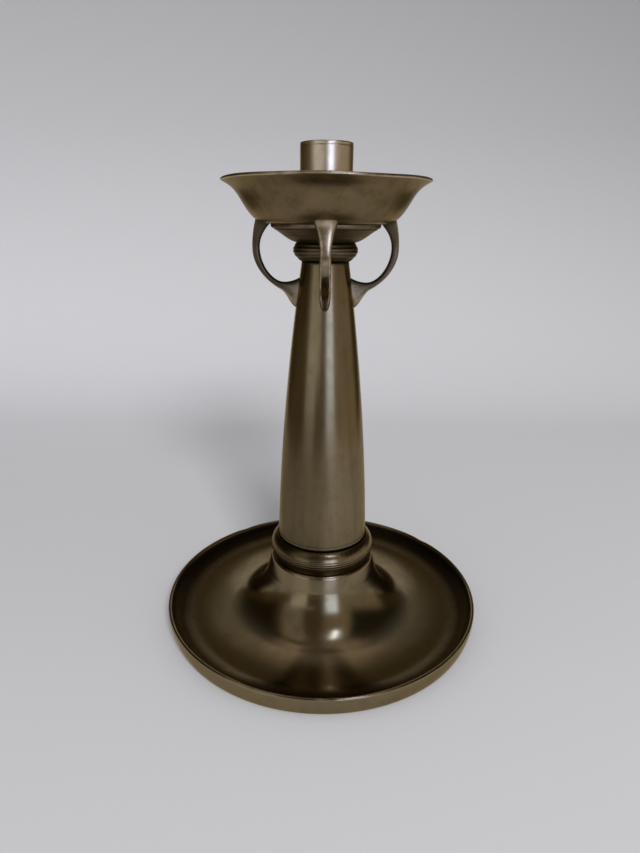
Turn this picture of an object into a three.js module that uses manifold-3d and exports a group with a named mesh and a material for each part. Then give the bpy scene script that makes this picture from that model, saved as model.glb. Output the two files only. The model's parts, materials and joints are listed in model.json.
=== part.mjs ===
// Pewter candlestick: a saucer base with a bell, a swelling stem between moulded collars,
// a drip pan on a moulded capital, four loop handles and a lift-out candle nozzle.
// A tie rod through the hollow stem clamps the stack from the socket down to the bell.
// Millimetres, +Z up, origin on the table under the axis. Every outline is a list of (radius, height).
import * as THREE from "three";
import { mergeVertices } from "three/addons/utils/BufferGeometryUtils.js";
import Module from "manifold-3d";

const wasm = await Module();
wasm.setup();

// Fits and fineness
const chordError = 0.14; // how far a flat facet may cut inside its circle
const curveSteps = 5; // straight steps of a long curve
const flareSteps = 7; // of the bell's flare
const easeSteps = 3; // of a short one
const roundSteps = 2; // of a small round or a reed
const stemSteps = 9; // of the stem's side
const samePoint = 1e-4; // outline points nearer than this are one
const registerFit = 0.3; // radial play of a register in its recess
const nozzleFit = 0.25; // radial play of the nozzle in its socket
const solderGap = 0.3; // film between a handle and what it is soldered to

// Saucer of the base
const dishRadius = 88.9;
const dishHeight = 11.5;
const dishLip = 1.9; // thickness of the rounded lip
const dishFloor = 2.6; // lowest part of the floor above the table
const dishFloorRadius = 70; // where the floor starts to curve up into the wall
const dishFloorWall = 1.6;
const dishFootRadius = 85.6;
const dishFootWidth = 4;

// Bell in the middle of the saucer: a cone that flares out below its waist into a gentle skirt
const bellFlareRadius = 67; // where the skirt runs out on the floor
const bellSkirtRadius = 52; // where the flare has eased into the skirt
const bellSkirtHeight = 4.2;
const bellSkirtSlope = 11; // degrees below level there
const bellSkirtEase = 9; // straight run of the flare above that point
const bellWaistRadius = 32.1;
const bellWaistHeight = 23.3;
const bellWaistEase = 11.5; // straight run of the cone below the waist
const bellTopRadius = 28.7;
const bellTopHeight = 36.5;
const bellTopRound = 0.6;
const bellWall = 2.2;
const registerHeight = 1.6; // boss or spigot that centres one piece on the next

// Lower collar: a smooth bead over shallow reeds and a short neck
const lowerCollarHeight = 13;
const lowerCollarBore = 19;
const lowerNeckRadius = 26.6;
const lowerNeckHeight = 1.2;
const lowerUnderside = 1; // height of the rounded step between the neck and the reeds
const lowerReedCount = 3;
const lowerReedPitch = 2.35;
const lowerReedRoot = 27.2;
const lowerReedCrest = 27.6;
const lowerBeadRadius = 28.8;
const lowerBeadTop = 25.8; // radius where the bead meets its flat top

// Stem
const stemLength = 149.7;
const stemFootRadius = 24.8;
const stemTopRadius = 11.7;
const stemSwell = 2.15; // bulge of the side beyond a straight taper, at half height
const stemWall = 2;

// Upper collar: a cushion with fine reeds on its face
const upperCollarHeight = 9;
const upperCollarBore = 7;
const upperFootRadius = 12.1;
const upperTopRadius = 15.2;
const upperBulge = 2.15; // swell of the cushion beyond a straight taper
const upperReedCount = 5;
const upperReedDepth = 0.22;

// Capital: an S-shaped cyma and a top fillet
const capitalHeight = 8.5;
const capitalNeckRadius = 14.6;
const cymaRadius = 25;
const cymaHeight = 5.9;
const cymaFootRun = 4; // how the curve sets out from the neck
const cymaFootRise = 0.9;
const cymaTopRun = 3.8; // how it comes in to the fillet
const cymaTopRise = 2;
const topFilletRadius = 26.8;
const topFilletHeight = 2.2;
const topFilletRound = 0.7;
const capitalWeb = 2.4; // metal left under the socket

// Drip pan
const panRadius = 50;
const panDepth = 20.3;
const panWall = 1.5;
const panFloorRadius = 28; // where the underside starts to curve up
const panKneeRadius = 41; // where the bowl's curve turns into the flared lip
const panKneeHeight = 11.1;
const panLip = 1.1; // thickness of the lip's edge

// Nozzle and its socket
const candleBore = 11; // radius, for a candle of 22 mm
const nozzleWall = 1.5;
const nozzleRise = 15.4; // nozzle's mouth above the rim of the pan
const nozzleFloor = 1.2;
const nozzleLipRound = 0.5;
const socketWall = 1.25;
const socketFlange = 17.5;
const socketFlangeThickness = 1.2;

// Tie rod, clamp plate and nut
const rodRadius = 3;
const rodHeadRadius = 5.5;
const rodHeadHeight = 3.2;
const rodTail = 3; // thread standing out below the nut
const rodChamfer = 0.75;
const plateRadius = 18;
const plateThickness = 2.5;
const nutAcrossFlats = 10;
const nutHeight = 5;
const headClearance = 1.2; // air between the rod's head and the nozzle's floor

// Loop handles, with drops measured down from the underside of the pan
const handleReach = 35.9; // outer edge of the loop from the axis
const handleThickness = 3.5;
const handleWidth = 5.2;
const handleRootWidth = 11.2;
const handleRootTaper = 1.6; // how quickly the root narrows to the strap
const handleFootWidth = 5.4;
const handleCorner = 0.9;
const handleCornerShare = 0.9; // most of a section's half width that a corner may take
const handleRootOuter = 34;
const handleRootInner = 26.4;
const handleReachDrop = 11.3;
const handleLoopDrop = 27.6; // lowest point of the opening
const handleTurnRadius = 20.6; // radius of that lowest point
const handleHeelRadius = 22.5; // where the outer edge leaves the loop for the foot
const handleHeelDrop = 31;
const handleHeelSlope = 29; // degrees below level at the heel
const handleFootTopDrop = 24.3;
const handleToeDrop = 40.5;
const handleToe = 2.4; // how far the blunt toe stands off the stem
const handleBite = 2.4; // how far the ends run on before they are trimmed

// Levels of the stack, from the table up
const stemFoot = bellTopHeight + lowerCollarHeight;
const stemTop = stemFoot + stemLength;
const capitalFoot = stemTop + upperCollarHeight;
const panBottom = capitalFoot + capitalHeight;
const panFloor = panBottom + panWall;
const panRim = panBottom + panDepth;
const socketFoot = capitalFoot + capitalWeb;
const socketFloor = socketFoot + socketWall;
const nozzleTop = panRim + nozzleRise;

// Radii that mating pieces share
const rodHole = rodRadius + registerFit;
const nozzleRadius = candleBore + nozzleWall;
const socketBore = nozzleRadius + nozzleFit;
const socketRadius = socketBore + socketWall;
const socketHole = socketRadius + registerFit;

// Pewter of the stack, the paler tin of the nozzle, and the plain steel inside
const pewter = () => new THREE.MeshStandardMaterial({ color: 0x6f6049, roughness: 0.35, metalness: 0.9 });
const tin = () => new THREE.MeshStandardMaterial({ color: 0x9a8d77, roughness: 0.3, metalness: 0.9 });
const steel = () => new THREE.MeshStandardMaterial({ color: 0x6a6a68, roughness: 0.5, metalness: 0.9 });

const at = (radius, height) => new THREE.Vector2(radius, height);
const radians = THREE.MathUtils.degToRad;

// A cubic or quadratic curve through an outline, in straight steps.
function bend(steps, ...points) {
  const Curve = points.length === 4 ? THREE.CubicBezierCurve : THREE.QuadraticBezierCurve;
  return new Curve(...points).getPoints(steps);
}

// A circular arc of an outline, between two angles in degrees.
function arc(steps, centre, radius, from, to) {
  const turn = new THREE.EllipseCurve(centre.x, centre.y, radius, radius, radians(from), radians(to));
  return turn.getPoints(steps);
}

// The same outline moved sideways by a distance, to the left of its direction of travel.
function offset(points, distance) {
  return points.map((point, i) => {
    const before = points[Math.max(i - 1, 0)];
    const after = points[Math.min(i + 1, points.length - 1)];
    const along = after.clone().sub(before).normalize();
    return at(point.x - along.y * distance, point.y + along.x * distance);
  });
}

// Sides that keep a circle within the chord error, in eighths so that pieces agree at the quarters.
function sidesOf(radius) {
  const needed = Math.PI / Math.acos(1 - chordError / radius);
  return 8 * Math.ceil(needed / 8);
}

// A solid turned about Z from an outline that runs anticlockwise: up its outer side, down its inner one.
function turned(outline, closed) {
  const points = closed ? [...outline, outline[0]] : outline;
  const widest = Math.max(...points.map((point) => point.x));
  const clean = points.filter((point, i) => i === 0 || point.distanceTo(points[i - 1]) > samePoint);
  return new THREE.LatheGeometry(clean, sidesOf(widest)).rotateX(Math.PI / 2);
}
const ring = (outline) => turned(outline, true);
const spindle = (outline) => turned(outline, false);

function solidOf(geometry) {
  const bare = geometry.clone();
  bare.deleteAttribute("normal");
  bare.deleteAttribute("uv");
  const merged = mergeVertices(bare);
  const vertProperties = new Float32Array(merged.attributes.position.array);
  const triVerts = new Uint32Array(merged.index.array);
  return new wasm.Manifold(new wasm.Mesh({ numProp: 3, vertProperties, triVerts }));
}

function geometryOf(solid) {
  const mesh = solid.getMesh();
  const geometry = new THREE.BufferGeometry();
  geometry.setAttribute("position", new THREE.BufferAttribute(mesh.vertProperties, 3));
  geometry.setIndex(new THREE.BufferAttribute(mesh.triVerts, 1));
  geometry.computeVertexNormals();
  return geometry;
}

// Outside of the bell from the saucer's floor up: skirt, flare, waist, cone and worn top edge.
function bellSide() {
  const waist = at(bellWaistRadius, bellWaistHeight);
  const top = at(bellTopRadius, bellTopHeight);
  const cone = top.clone().sub(waist).normalize();
  const slope = radians(bellSkirtSlope);
  const skirtTop = at(bellSkirtRadius, bellSkirtHeight);
  const inward = at(-Math.cos(slope), Math.sin(slope));
  const levelRun = (bellSkirtHeight - dishFloor) / Math.tan(slope);
  const skirt = bend(roundSteps, at(bellFlareRadius, dishFloor), at(bellSkirtRadius + levelRun, dishFloor),
    skirtTop);
  const flare = bend(flareSteps, skirtTop, skirtTop.clone().addScaledVector(inward, bellSkirtEase),
    waist.clone().addScaledVector(cone, -bellWaistEase), waist);
  const edge = bend(roundSteps, top.clone().addScaledVector(cone, -bellTopRound), top,
    at(bellTopRadius - bellTopRound, bellTopHeight));
  return [...skirt, ...flare, ...edge];
}

// Saucer, bell and skirt in one hollow casting, with a boss on top that centres the lower collar.
function baseDish() {
  const lipRound = dishLip / 2;
  const lipCentre = at(dishRadius - lipRound, dishHeight - lipRound);
  const skirtRise = (dishHeight - lipRound) / 2;
  const skirtRun = (dishRadius + dishFootRadius) / 2;
  const skirt = bend(easeSteps, at(dishFootRadius, 0), at(skirtRun, 0),
    at(dishRadius, skirtRise), at(dishRadius, lipCentre.y));
  const lip = arc(easeSteps, lipCentre, lipRound, 0, 180);
  const wallTop = at(dishRadius - dishLip, lipCentre.y);
  const wallRun = (wallTop.x + dishFloorRadius) / 2;
  const wall = bend(curveSteps, wallTop, at(wallTop.x, (lipCentre.y + dishFloor) / 2),
    at(wallRun, dishFloor), at(dishFloorRadius, dishFloor));
  const bell = bellSide();
  const bossRadius = lowerCollarBore - registerFit;
  const boss = [at(bossRadius, bellTopHeight), at(bossRadius, bellTopHeight + registerHeight),
    at(rodHole, bellTopHeight + registerHeight)];
  const ceiling = bellTopHeight - bellWall;
  const inside = offset(bell, bellWall).reverse();
  const hollow = inside.filter((point) => point.y < ceiling && point.y > dishFloor - dishFloorWall);
  const under = dishFloor - dishFloorWall;
  const footInner = dishFootRadius - dishFootWidth;
  return ring([...skirt, ...lip, ...wall, ...bell, ...boss,
    at(rodHole, ceiling), at(hollow[0].x - bellWall / 2, ceiling), ...hollow,
    at(bellFlareRadius, under), at(footInner - under, under), at(footInner, 0)]);
}

// Reeds: equal half-round ridges, one above the other, from a height upwards.
function reeds(from) {
  const count = lowerReedCount * roundSteps;
  return Array.from({ length: count + 1 }, (_, i) => {
    const crest = Math.abs(Math.sin((Math.PI * i) / roundSteps));
    const radius = lowerReedRoot + (lowerReedCrest - lowerReedRoot) * crest;
    return at(radius, from + (lowerReedPitch * i) / roundSteps);
  });
}

// Neck, rounded underside, reeds and bead, with a spigot that enters the foot of the stem.
function lowerCollar() {
  const foot = bellTopHeight;
  const neckTop = foot + lowerNeckHeight;
  const reedFoot = neckTop + lowerUnderside;
  const underside = bend(easeSteps, at(lowerNeckRadius, neckTop), at(lowerReedRoot, (neckTop + reedFoot) / 2),
    at(lowerReedRoot, reedFoot));
  const beadFoot = reedFoot + lowerReedCount * lowerReedPitch;
  // Control radius that brings the middle of the curve out to the bead's radius.
  const pull = (8 * lowerBeadRadius - lowerReedRoot - lowerBeadTop) / 6;
  const bead = bend(curveSteps, at(lowerReedRoot, beadFoot), at(pull, beadFoot),
    at(pull, stemFoot), at(lowerBeadTop, stemFoot));
  const spigot = stemFootRadius - stemWall - registerFit;
  const spigotTop = stemFoot + registerHeight;
  return ring([at(lowerCollarBore, foot), at(lowerNeckRadius, foot), ...underside, ...reeds(reedFoot),
    ...bead, at(spigot, stemFoot), at(spigot, spigotTop), at(lowerCollarBore, spigotTop)]);
}

// Radius of the stem's side at a height: a straight taper plus a swell that is fullest half way up.
function stemRadius(height) {
  const up = (height - stemFoot) / stemLength;
  return stemFootRadius + (stemTopRadius - stemFootRadius) * up + 4 * stemSwell * up * (1 - up);
}

function stemSide(steps, inset) {
  return Array.from({ length: steps + 1 }, (_, i) => {
    const height = stemFoot + (stemLength * i) / steps;
    return at(stemRadius(height) - inset, height);
  });
}

function stem() {
  return ring([...stemSide(stemSteps, 0), ...stemSide(curveSteps, stemWall).reverse()]);
}

// A cushion whose face is cut into fine reeds, over a spigot that enters the top of the stem.
function upperCollar() {
  const count = upperReedCount * roundSteps;
  const cushion = Array.from({ length: count + 1 }, (_, i) => {
    const up = i / count;
    const taper = upperFootRadius + (upperTopRadius - upperFootRadius) * up;
    const swell = upperBulge * Math.sin(Math.PI * up);
    const groove = upperReedDepth * (1 - Math.abs(Math.sin(Math.PI * up * upperReedCount)));
    return at(taper + swell - groove, stemTop + upperCollarHeight * up);
  });
  const spigot = stemTopRadius - stemWall - registerFit;
  const spigotFoot = stemTop - registerHeight;
  return ring([at(upperCollarBore, spigotFoot), at(spigot, spigotFoot), at(spigot, stemTop), ...cushion,
    at(upperCollarBore, capitalFoot)]);
}

// Cyma and fillet round a pocket for the socket, with a spigot that enters the upper collar.
function capital() {
  const spigot = upperCollarBore - registerFit;
  const spigotFoot = capitalFoot - registerHeight;
  const cymaTop = capitalFoot + cymaHeight;
  const cyma = bend(curveSteps, at(capitalNeckRadius, capitalFoot),
    at(capitalNeckRadius + cymaFootRun, capitalFoot + cymaFootRise),
    at(cymaRadius - cymaTopRun, cymaTop - cymaTopRise), at(cymaRadius, cymaTop));
  const filletFoot = panBottom - topFilletHeight;
  const round = at(topFilletRadius - topFilletRound, filletFoot + topFilletRound);
  const fillet = arc(roundSteps, round, topFilletRound, -90, 0);
  return ring([at(rodHole, spigotFoot), at(spigot, spigotFoot), at(spigot, capitalFoot), ...cyma,
    at(cymaRadius, filletFoot), ...fillet, at(topFilletRadius, panBottom), at(socketHole, panBottom),
    at(socketHole, socketFoot), at(rodHole, socketFoot)]);
}

// Underside of the pan, from its flat bottom up to the edge of the lip.
function panUnderside() {
  const knee = at(panKneeRadius, panBottom + panKneeHeight);
  const edge = at(panRadius, panRim - panLip);
  const bowlRun = (panFloorRadius + panKneeRadius) / 2;
  const lipRun = (panKneeRadius + panRadius) / 2;
  const slope = (panKneeRadius - panFloorRadius) / (2 * panKneeHeight);
  const rise = (edge.y - knee.y) / 2;
  const bowlEase = panKneeHeight / 2;
  const bowl = bend(curveSteps, at(panFloorRadius, panBottom), at(bowlRun, panBottom),
    at(knee.x - slope * bowlEase, knee.y - bowlEase), knee);
  const lip = bend(curveSteps, knee, at(knee.x + slope * rise, knee.y + rise),
    at(lipRun, edge.y - rise / 2), edge);
  return [...bowl, ...lip.slice(1)];
}

function dripPan() {
  const under = panUnderside();
  const inside = offset(under, panWall).slice(0, -1).reverse();
  return ring([at(socketHole, panBottom), ...under, at(panRadius - panLip / 2, panRim), ...inside,
    at(socketHole, panFloor)]);
}

function nozzleSocket() {
  const flangeTop = panFloor + socketFlangeThickness;
  return ring([at(rodHole, socketFoot), at(socketRadius, socketFoot), at(socketRadius, panFloor),
    at(socketFlange, panFloor), at(socketFlange - socketFlangeThickness / 2, flangeTop),
    at(socketBore, flangeTop), at(socketBore, socketFloor), at(rodHole, socketFloor)]);
}

// A plain tube with a cross floor for the candle, open below it over the head of the rod.
function candleNozzle() {
  const floorFoot = socketFloor + rodHeadHeight + headClearance;
  const floorTop = floorFoot + nozzleFloor;
  const outerLip = at(nozzleRadius - nozzleLipRound, nozzleTop - nozzleLipRound);
  const innerLip = at(candleBore + nozzleLipRound, nozzleTop - nozzleLipRound);
  return spindle([at(0, floorFoot), at(candleBore, floorFoot), at(candleBore, socketFloor),
    at(nozzleRadius, socketFloor), ...arc(roundSteps, outerLip, nozzleLipRound, 0, 90),
    ...arc(roundSteps, innerLip, nozzleLipRound, 90, 180), at(candleBore, floorTop), at(0, floorTop)]);
}

function tieRod() {
  const tail = bellTopHeight - bellWall - plateThickness - nutHeight - rodTail;
  const headTop = socketFloor + rodHeadHeight;
  return spindle([at(0, tail), at(rodRadius - rodChamfer, tail), at(rodRadius, tail + rodChamfer),
    at(rodRadius, socketFloor), at(rodHeadRadius, socketFloor), at(rodHeadRadius, headTop - rodChamfer),
    at(rodHeadRadius - rodChamfer, headTop), at(0, headTop)]);
}

function clampPlate() {
  const top = bellTopHeight - bellWall;
  const foot = top - plateThickness;
  return ring([at(rodHole, foot), at(plateRadius, foot), at(plateRadius, top), at(rodHole, top)]);
}

function tieRodNut() {
  const corner = nutAcrossFlats / Math.sqrt(3);
  const hexagon = new THREE.Shape(
    Array.from({ length: 6 }, (_, i) => at(corner, 0).rotateAround(at(0, 0), (i * Math.PI) / 3)));
  hexagon.holes.push(new THREE.Path().absarc(0, 0, rodHole, 0, 2 * Math.PI, true));
  const curveSegments = sidesOf(rodHole);
  const nut = new THREE.ExtrudeGeometry(hexagon, { depth: nutHeight, bevelEnabled: false, curveSegments });
  return nut.translate(0, 0, bellTopHeight - bellWall - plateThickness - nutHeight);
}

// The strap's two edges in the handle's own plane, in matching stretches: root, loop and foot.
function handleEdges(steps) {
  const level = (drop) => panBottom - drop;
  const stemAt = (drop) => at(stemRadius(level(drop)) - handleBite, level(drop));
  const heelWay = at(Math.cos(radians(handleHeelSlope)), Math.sin(radians(handleHeelSlope)));
  const reachZ = level(handleReachDrop);

  const outerReach = at(handleReach, reachZ);
  const heel = at(handleHeelRadius, level(handleHeelDrop));
  const toe = stemAt(handleToeDrop);
  const outerRoot = at(handleRootOuter, panBottom + handleBite);
  const heelRun = (heel.x - toe.x) / 2;
  const loopRun = (handleReach - handleHeelRadius) / 2;
  const outer = [
    bend(steps, outerRoot, at(handleReach, (outerRoot.y + reachZ) / 2), outerReach),
    bend(steps, outerReach, at(handleReach, (reachZ + heel.y) / 2),
      heel.clone().addScaledVector(heelWay, loopRun), heel),
    bend(steps, heel, heel.clone().addScaledVector(heelWay, -heelRun),
      at(toe.x + handleBite + handleToe, toe.y), toe),
  ];

  const innerReach = at(handleReach - handleThickness, reachZ);
  const lowest = at(handleTurnRadius, level(handleLoopDrop));
  const footTop = stemAt(handleFootTopDrop);
  const innerRoot = at(handleRootInner, panBottom + handleBite / 2);
  const inner = [
    bend(steps, innerRoot, at(innerReach.x, (innerRoot.y + reachZ) / 2), innerReach),
    bend(steps, innerReach, at(innerReach.x, (reachZ + lowest.y) / 2),
      at((innerReach.x + lowest.x) / 2, lowest.y), lowest),
    bend(steps, lowest, at((lowest.x + footTop.x) / 2, lowest.y), footTop),
  ];
  const joined = (edge) => edge.flatMap((stretch, i) => (i ? stretch.slice(1) : stretch));
  return { outer: joined(outer), inner: joined(inner) };
}

// Width and corner radius along the strap: a wide root, an even loop, and a foot that ends round.
function strapWidth(stretch) {
  if (stretch < 1) return handleWidth + (handleRootWidth - handleWidth) * (1 - stretch) ** handleRootTaper;
  if (stretch < 2) return handleWidth;
  return handleWidth + (handleFootWidth - handleWidth) * (stretch - 2);
}

function strapCorner(stretch) {
  const foot = Math.max(stretch - 2, 0);
  return handleCorner + (handleFootWidth / 2 - handleCorner) * foot;
}

// One section of the strap: a rounded rectangle from the inner edge to the outer, square to the plane.
function strapSection(inner, outer, width, corner) {
  const middle = inner.clone().add(outer).divideScalar(2);
  const across = outer.clone().sub(inner);
  const half = across.length() / 2;
  const way = across.normalize();
  const round = Math.min(corner, handleCornerShare * half, (handleCornerShare * width) / 2);
  const quarters = [[1, 1, 0], [-1, 1, 90], [-1, -1, 180], [1, -1, 270]];
  return quarters.flatMap(([along, side, from]) => {
    const centre = at(along * (half - round), side * (width / 2 - round));
    return arc(roundSteps, centre, round, from, from + 90).map((point) =>
      new THREE.Vector3(middle.x + way.x * point.x, point.y, middle.y + way.y * point.x));
  });
}

// A closed skin over sections that all have the same number of points.
function lofted(sections) {
  const count = sections[0].length;
  const positions = sections.flat().flatMap((point) => point.toArray());
  const faces = [];
  for (let s = 0; s + 1 < sections.length; s++) {
    for (let i = 0; i < count; i++) {
      const a = s * count + i;
      const b = s * count + ((i + 1) % count);
      faces.push(a, a + count, b, b, a + count, b + count);
    }
  }
  const last = (sections.length - 1) * count;
  for (let i = 1; i + 1 < count; i++) {
    faces.push(0, i, i + 1);
    faces.push(last, last + i + 1, last + i);
  }
  const geometry = new THREE.BufferGeometry();
  geometry.setAttribute("position", new THREE.Float32BufferAttribute(positions, 3));
  geometry.setIndex(faces);
  geometry.computeVertexNormals();
  return geometry;
}

// A strap handle towards +X, its ends trimmed to the underside of the pan and the side of the stem.
function handle() {
  const { outer, inner } = handleEdges(curveSteps);
  const sections = outer.map((edge, i) => {
    const stretch = i / curveSteps;
    return strapSection(inner[i], edge, strapWidth(stretch), strapCorner(stretch));
  });
  const panSide = offset(panUnderside(), -solderGap);
  const panBlock = spindle([at(0, panSide[0].y), ...panSide, at(0, panRim)]);
  const stemSides = stemSide(stemSteps, -solderGap);
  const stemBlock = spindle([at(0, stemFoot), ...stemSides, at(0, stemTop)]);
  const strap = solidOf(lofted(sections));
  return geometryOf(strap.subtract(solidOf(panBlock)).subtract(solidOf(stemBlock)));
}

function piece(name, geometry, material) {
  const mesh = new THREE.Mesh(geometry, material);
  mesh.name = name;
  return mesh;
}

const candlestick = new THREE.Group();
candlestick.add(
  piece("base_dish", baseDish(), pewter()),
  piece("lower_collar", lowerCollar(), pewter()),
  piece("stem", stem(), pewter()),
  piece("upper_collar", upperCollar(), pewter()),
  piece("capital", capital(), pewter()),
  piece("drip_pan", dripPan(), pewter()),
  piece("nozzle_socket", nozzleSocket(), pewter()),
  piece("candle_nozzle", candleNozzle(), tin()),
  piece("tie_rod", tieRod(), steel()),
  piece("clamp_plate", clampPlate(), steel()),
  piece("tie_rod_nut", tieRodNut(), steel()),
);

const handleSides = ["right", "back", "left", "front"];
const strap = handle();
handleSides.forEach((side, i) => {
  const loop = piece(`handle_${side}`, strap, pewter());
  loop.rotation.z = (i * Math.PI) / 2;
  candlestick.add(loop);
});

export default candlestick;
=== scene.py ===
# %% [markdown]
# # An old pewter candlestick
# The candlestick is a stack of turned pieces on one axis, with four soldered loop handles. The packed
# model comes in first, as a fixed frame in metres. Every finer surface that this lesson makes takes the
# place of one of its nodes and rides on one of its two bodies: the stand, or the nozzle that lifts out.

# %% Load the frame
import json
import math

import bpy
import numpy as np
from mathutils import Matrix, Vector


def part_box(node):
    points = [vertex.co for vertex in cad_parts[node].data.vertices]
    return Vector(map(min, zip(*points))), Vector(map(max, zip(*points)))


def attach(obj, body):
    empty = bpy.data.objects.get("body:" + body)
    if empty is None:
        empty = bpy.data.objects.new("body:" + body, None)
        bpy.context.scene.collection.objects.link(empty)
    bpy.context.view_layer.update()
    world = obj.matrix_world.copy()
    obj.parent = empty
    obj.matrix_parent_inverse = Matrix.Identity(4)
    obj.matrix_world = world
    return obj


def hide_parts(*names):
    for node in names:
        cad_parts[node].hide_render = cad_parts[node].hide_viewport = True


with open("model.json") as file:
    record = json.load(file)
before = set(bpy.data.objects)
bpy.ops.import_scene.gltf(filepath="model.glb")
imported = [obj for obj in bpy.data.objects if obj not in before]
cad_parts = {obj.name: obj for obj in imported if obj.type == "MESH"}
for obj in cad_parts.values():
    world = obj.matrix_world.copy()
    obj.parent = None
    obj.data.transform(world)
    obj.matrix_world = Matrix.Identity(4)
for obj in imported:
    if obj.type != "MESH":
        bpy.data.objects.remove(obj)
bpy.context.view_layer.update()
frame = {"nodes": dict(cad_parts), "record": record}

# %% [markdown]
# ## The camera
# The photograph was taken from close by, a little above the pan, looking down. Its place was found by
# fitting the rims of the saucer, the pan and the nozzle, which are circles on one axis. A wide lens this
# near makes the saucer look larger than it is, so the distance matters more than the angle.

# %% Camera at the photograph's place
CAMERA_PLACE = Vector((0.0, -0.30414, 0.2187))
LOOK_DOWN = math.radians(19.22)
LOOK_LEFT = math.radians(0.34)
ROLL = math.radians(0.61)
LENS_MM, SENSOR_MM = 25.06, 36.0
NEAREST_SEEN = 0.01


def aimed(down, left, roll):
    """Rotation whose -Z looks along +Y, turned left and down, then rolled about the line of sight."""
    ahead = Vector((-math.sin(left) * math.cos(down), math.cos(left) * math.cos(down), -math.sin(down)))
    level = Vector((math.cos(left), math.sin(left), 0.0))
    upright = level.cross(ahead)
    right = math.cos(roll) * level + math.sin(roll) * upright
    top = math.cos(roll) * upright - math.sin(roll) * level
    return Matrix((right, top, -ahead)).transposed().to_4x4()


camera_data = bpy.data.cameras.new("photo_camera")
camera_data.sensor_width = SENSOR_MM
camera_data.lens = LENS_MM
camera_data.clip_start = NEAREST_SEEN
camera = bpy.data.objects.new("photo_camera", camera_data)
camera.matrix_world = Matrix.Translation(CAMERA_PLACE) @ aimed(LOOK_DOWN, LOOK_LEFT, ROLL)
bpy.context.scene.collection.objects.link(camera)
bpy.context.scene.camera = camera
print("camera", [round(v, 4) for v in camera.location])

# %% [markdown]
# ## Outlines
# A turned piece is known by its outline, a list of (radius, height) in millimetres that runs up the
# outside and back down the inside. Curves come from a few control points. A real edge is never sharp:
# years of polishing have rounded it. A Bevel modifier could do that edge by edge, but here each outline
# is walked in small even steps and averaged with its neighbours, which rounds all of it alike.

# %% Curves
def bezier(steps, *points):
    """Each point is a mean of the control points, weighted by the Bernstein terms of the parameter."""
    points = np.array(points, float)
    degree = len(points) - 1
    t = np.linspace(0.0, 1.0, steps + 1)[:, None]
    k = np.arange(degree + 1)
    choose = np.array([math.comb(degree, i) for i in k])
    return (choose * t**k * (1 - t) ** (degree - k)) @ points


def arc(steps, centre, radius, start, end):
    """Centre plus radius times cosine and sine of an angle that runs evenly between two, in degrees."""
    angle = np.radians(np.linspace(start, end, steps + 1))
    return np.array(centre) + radius * np.stack([np.cos(angle), np.sin(angle)], axis=1)


def hump(values, middle, width):
    """A bell curve: e to minus half the square of the distance from the middle, counted in widths."""
    return np.exp(-0.5 * ((values - middle) / width) ** 2)


print("half way along an arch:", bezier(2, (0, 0), (1, 2), (2, 0))[1].tolist())

# %% Polished outlines
SAME_POINT = 1e-6
BLUR_REACH = 3


def walked(points):
    """Distance gone along a line of points, starting at zero."""
    return np.r_[0.0, np.cumsum(np.hypot(*np.diff(points, axis=0).T))]


def blurred(values, step, width):
    """Weighted mean of each row and its neighbours under a bell curve, with the ends held in place."""
    reach = math.ceil(BLUR_REACH * width / step)
    bell = hump(np.arange(-reach, reach + 1) * step, 0.0, width)
    bell /= bell.sum()
    before = 2 * values[:1] - values[reach:0:-1]
    after = 2 * values[-1:] - values[-2:-reach - 2:-1]
    padded = np.concatenate([before, values, after])
    return np.stack([np.convolve(column, bell, "valid") for column in padded.T], axis=1)


def polished(stretches, step=0.4, width=0.3):
    """The outline at even steps along its length, blurred so that every edge is softly rounded."""
    points = np.vstack(stretches)
    points = points[np.r_[True, np.hypot(*np.diff(points, axis=0).T) > SAME_POINT]]
    gone = walked(points)
    even = np.linspace(0.0, gone[-1], math.ceil(gone[-1] / step) + 1)
    line = np.stack([np.interp(even, gone, column) for column in points.T], axis=1)
    return blurred(line, even[1], width)


def bent(outline):
    """Turn of direction per millimetre of outline, in radians: above 0 on ridges, below in grooves."""
    gone = walked(outline)
    slope = np.gradient(outline, gone, axis=0)
    return np.gradient(np.unwrap(np.arctan2(slope[:, 1], slope[:, 0])), gone)


sample_edge = polished([[(0, 0), (5, 0)], [(5, 0), (5, 5)]])
print("a square corner rounds to a bend of", round(float(bent(sample_edge).max()), 2), "radians per mm")

# %% [markdown]
# ## From an outline to a mesh
# Turning the outline about the axis gives a grid: one parameter runs along the outline, the other round
# the circle. A Screw modifier could turn it too, but a grid of our own can keep five numbers on every
# vertex for the materials: `wear` on ridges, where the patina is rubbed through, `grime` in grooves,
# where polish and dust collect, `bloom` where the shine has gone dull, `tarnish` where the
# metal is black, from tarnish and, on the handles' inner faces, from painted shade, and `along`, the
# distance along the outline, which the fine lines of the lathe follow.

# %% Grids and meshes
MM = 0.001
CREASE = 40


def grid_faces(rows, columns, loop_rows, loop_columns):
    """Four-sided faces between neighbours on a grid, whose rows or columns may close on themselves."""
    index = np.arange(rows * columns).reshape(rows, columns)
    if loop_rows:
        index = np.vstack([index, index[:1]])
    if loop_columns:
        index = np.hstack([index, index[:, :1]])
    corners = index[:-1, :-1], index[:-1, 1:], index[1:, 1:], index[1:, :-1]
    return np.stack([corner.ravel() for corner in corners], axis=1)


def pole_fans(columns, count):
    """Triangles from the first and last ring of a grid to the two poles that come after its points."""
    ring = np.arange(columns)
    after = np.roll(ring, -1)
    last = count - columns
    first_fan = np.stack([ring, after, np.full(columns, count)], axis=1)
    last_fan = np.stack([last + after, last + ring, np.full(columns, count + 1)], axis=1)
    return first_fan.tolist() + last_fan.tolist()


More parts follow.
